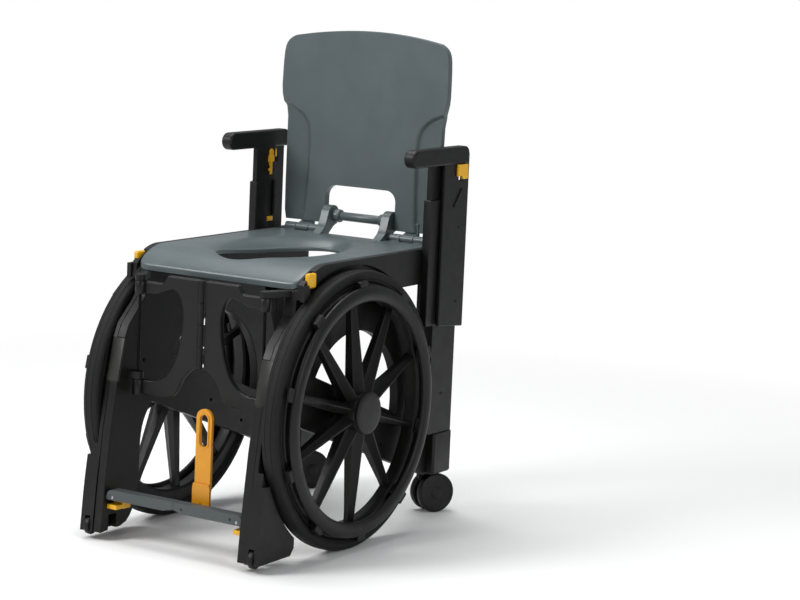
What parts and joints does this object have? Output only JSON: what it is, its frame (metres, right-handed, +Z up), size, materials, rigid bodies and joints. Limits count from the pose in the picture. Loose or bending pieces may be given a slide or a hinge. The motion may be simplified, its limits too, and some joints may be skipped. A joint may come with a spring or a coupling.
{
  "type": "wheeled bath chair",
  "caption": "Self-propelled commode and shower chair that folds sideways, with dished seat, fold-down backrest, spoked drive wheels, castors and height-adjustable armrests.",
  "frame": {"origin": "on the floor under the middle of the object's bounding box", "axes": "+Z up, the chair faces -Y, +X is the occupant's left"},
  "size_m": [0.484, 0.6822, 0.914],
  "materials": {
    "black_plastic": "fine grained satin",
    "slate_plastic": "fine grained satin",
    "grey_footrest": "satin",
    "yellow_plastic": "satin gloss",
    "amber_plastic": "satin gloss",
    "tyre_rubber": "matt rubber",
    "blackened_steel": "blackened steel",
    "steel": "bare steel"
  },
  "bodies": {
    "right_frame": {"right_side_frame": "black_plastic", "right_outer_cover": "black_plastic", "right_leg_strip": "black_plastic", "right_roller_pin": "steel", "right_castor_housing": "black_plastic", "right_wall_pin": "blackened_steel", "right_axle": "steel", "right_pivot_block": "yellow_plastic", "right_footrest_pin": "steel", "right_armrest_sleeve": "black_plastic", "right_lower_catch": "yellow_plastic"},
    "left_frame": {"left_side_frame": "black_plastic", "left_outer_cover": "black_plastic", "left_leg_strip": "black_plastic", "left_roller_pin": "steel", "left_castor_housing": "black_plastic", "left_wall_pin": "blackened_steel", "left_axle": "steel", "left_pivot_block": "yellow_plastic", "left_footrest_pin": "steel", "left_armrest_sleeve": "black_plastic", "left_lower_catch": "yellow_plastic"},
    "right_front_wall": {"right_front_wall": "black_plastic", "wall_seam_pin": "blackened_steel"},
    "left_front_wall": {"left_front_wall": "black_plastic"},
    "right_footrest": {"right_footrest": "grey_footrest", "footrest_centre_pin": "steel"},
    "left_footrest": {"left_footrest": "grey_footrest"},
    "pull_handle": {"pull_handle": "amber_plastic"},
    "seat_unit": {"seat": "slate_plastic", "crossbar": "slate_plastic", "right_back_hinge_pin": "steel", "left_back_hinge_pin": "steel"},
    "backrest": {"backrest": "slate_plastic"},
    "right_wheel": {"right_drive_wheel": "black_plastic", "right_tyre": "tyre_rubber", "right_hand_rim": "black_plastic", "right_hub_cap": "black_plastic"},
    "right_castor_bracket": {"right_castor_bracket": "black_plastic"},
    "right_castor_wheels": {"right_castor_wheels": "black_plastic"},
    "right_front_roller": {"right_front_roller": "black_plastic"},
    "right_armrest": {"right_armrest": "black_plastic"},
    "right_latch_tab": {"right_latch_tab": "yellow_plastic"},
    "right_latch_slider": {"right_latch_slider": "yellow_plastic"},
    "right_seat_button": {"right_seat_button": "yellow_plastic"},
    "left_wheel": {"left_drive_wheel": "black_plastic", "left_tyre": "tyre_rubber", "left_hand_rim": "black_plastic", "left_hub_cap": "black_plastic"},
    "left_castor_bracket": {"left_castor_bracket": "black_plastic"},
    "left_castor_wheels": {"left_castor_wheels": "black_plastic"},
    "left_front_roller": {"left_front_roller": "black_plastic"},
    "left_armrest": {"left_armrest": "black_plastic"},
    "left_latch_tab": {"left_latch_tab": "yellow_plastic"},
    "left_latch_slider": {"left_latch_slider": "yellow_plastic"},
    "left_seat_button": {"left_seat_button": "yellow_plastic"}
  },
  "joints": [
    {"name": "frame_fold", "type": "hinge", "parent": "right_frame", "child": "right_front_wall", "pos_m": [-0.138, -0.25509, 0.36], "axis": [0, 0, 1], "range_deg": [0, 77.5]},
    {"name": "wall_seam_hinge", "type": "hinge", "parent": "right_front_wall", "child": "left_front_wall", "pos_m": [0, -0.25509, 0.4], "axis": [0, 0, 1], "range_deg": [-155, 0]},
    {"name": "left_frame_hinge", "type": "hinge", "parent": "left_front_wall", "child": "left_frame", "pos_m": [0.138, -0.25509, 0.36], "axis": [0, 0, 1], "range_deg": [0, 77.5]},
    {"name": "footrest_right_hinge", "type": "hinge", "parent": "right_frame", "child": "right_footrest", "pos_m": [-0.138, -0.29909, 0.081], "axis": [0, -1, 0], "range_deg": [0, 77.5]},
    {"name": "footrest_centre_hinge", "type": "hinge", "parent": "right_footrest", "child": "left_footrest", "pos_m": [0, -0.29909, 0.081], "axis": [0, -1, 0], "range_deg": [-155, 0]},
    {"name": "pull_handle_pivot", "type": "hinge", "parent": "left_footrest", "child": "pull_handle", "pos_m": [0.034, -0.29909, 0.081], "axis": [0, -1, 0], "range_deg": [0, 77.5]},
    {"name": "seat_lift_off", "type": "slide", "parent": "right_frame", "child": "seat_unit", "axis": [0, 0, 1], "range_m": [0, 1.22]},
    {"name": "backrest_fold", "type": "hinge", "parent": "seat_unit", "child": "backrest", "pos_m": [0, 0.22991, 0.53], "axis": [1, 0, 0], "range_deg": [0, 88]},
    {"name": "right_wheel_spin", "type": "hinge", "parent": "right_frame", "child": "right_wheel", "pos_m": [-0.2, -0.06609, 0.254], "axis": [1, 0, 0], "continuous": true},
    {"name": "right_castor_swivel", "type": "hinge", "parent": "right_frame", "child": "right_castor_bracket", "pos_m": [-0.145, 0.27991, 0.1], "axis": [0, 0, 1], "continuous": true},
    {"name": "right_castor_spin", "type": "hinge", "parent": "right_castor_bracket", "child": "right_castor_wheels", "pos_m": [-0.13501, 0.29951, 0.038], "axis": [0.891, -0.454, 0], "continuous": true},
    {"name": "right_roller_spin", "type": "hinge", "parent": "right_frame", "child": "right_front_roller", "pos_m": [-0.1825, -0.32409, 0.024], "axis": [1, 0, 0], "continuous": true},
    {"name": "right_armrest_height", "type": "slide", "parent": "right_frame", "child": "right_armrest", "axis": [0, 0, -1], "range_m": [0, 0.06]},
    {"name": "right_latch_tab_slide", "type": "slide", "parent": "right_armrest", "child": "right_latch_tab", "axis": [0, 0, -1], "range_m": [0, 0.008], "stiffness_N_per_m": 300, "springref_m": -0.004},
    {"name": "right_latch_slider_slide", "type": "slide", "parent": "right_armrest", "child": "right_latch_slider", "axis": [0, 0, -1], "range_m": [0, 0.008]},
    {"name": "right_seat_button_press", "type": "slide", "parent": "right_frame", "child": "right_seat_button", "axis": [1, 0, 0], "range_m": [0, 0.004], "stiffness_N_per_m": 400, "springref_m": -0.003},
    {"name": "left_wheel_spin", "type": "hinge", "parent": "left_frame", "child": "left_wheel", "pos_m": [0.2, -0.06609, 0.254], "axis": [1, 0, 0], "continuous": true},
    {"name": "left_castor_swivel", "type": "hinge", "parent": "left_frame", "child": "left_castor_bracket", "pos_m": [0.145, 0.27991, 0.1], "axis": [0, 0, 1], "continuous": true},
    {"name": "left_castor_spin", "type": "hinge", "parent": "left_castor_bracket", "child": "left_castor_wheels", "pos_m": [0.15499, 0.29951, 0.038], "axis": [0.891, -0.454, 0], "continuous": true},
    {"name": "left_roller_spin", "type": "hinge", "parent": "left_frame", "child": "left_front_roller", "pos_m": [0.1825, -0.32409, 0.024], "axis": [1, 0, 0], "continuous": true},
    {"name": "left_armrest_height", "type": "slide", "parent": "left_frame", "child": "left_armrest", "axis": [0, 0, -1], "range_m": [0, 0.06]},
    {"name": "left_latch_tab_slide", "type": "slide", "parent": "left_armrest", "child": "left_latch_tab", "axis": [0, 0, -1], "range_m": [0, 0.008], "stiffness_N_per_m": 300, "springref_m": -0.004},
    {"name": "left_latch_slider_slide", "type": "slide", "parent": "left_armrest", "child": "left_latch_slider", "axis": [0, 0, -1], "range_m": [0, 0.008]},
    {"name": "left_seat_button_press", "type": "slide", "parent": "left_frame", "child": "left_seat_button", "axis": [-1, 0, 0], "range_m": [0, 0.004], "stiffness_N_per_m": 400, "springref_m": -0.003}
  ],
  "couplings": [
    {"joint": "wall_seam_hinge", "follows": "frame_fold", "ratio": -2},
    {"joint": "left_frame_hinge", "follows": "frame_fold", "ratio": 1},
    {"joint": "footrest_right_hinge", "follows": "frame_fold", "ratio": 1},
    {"joint": "footrest_centre_hinge", "follows": "frame_fold", "ratio": -2},
    {"joint": "pull_handle_pivot", "follows": "frame_fold", "ratio": 1},
    {"joint": "seat_lift_off", "follows": "frame_fold", "m_per_rad": 0.9},
    {"joint": "right_latch_slider_slide", "follows": "right_latch_tab_slide", "ratio": 1},
    {"joint": "left_latch_slider_slide", "follows": "left_latch_tab_slide", "ratio": 1}
  ]
}
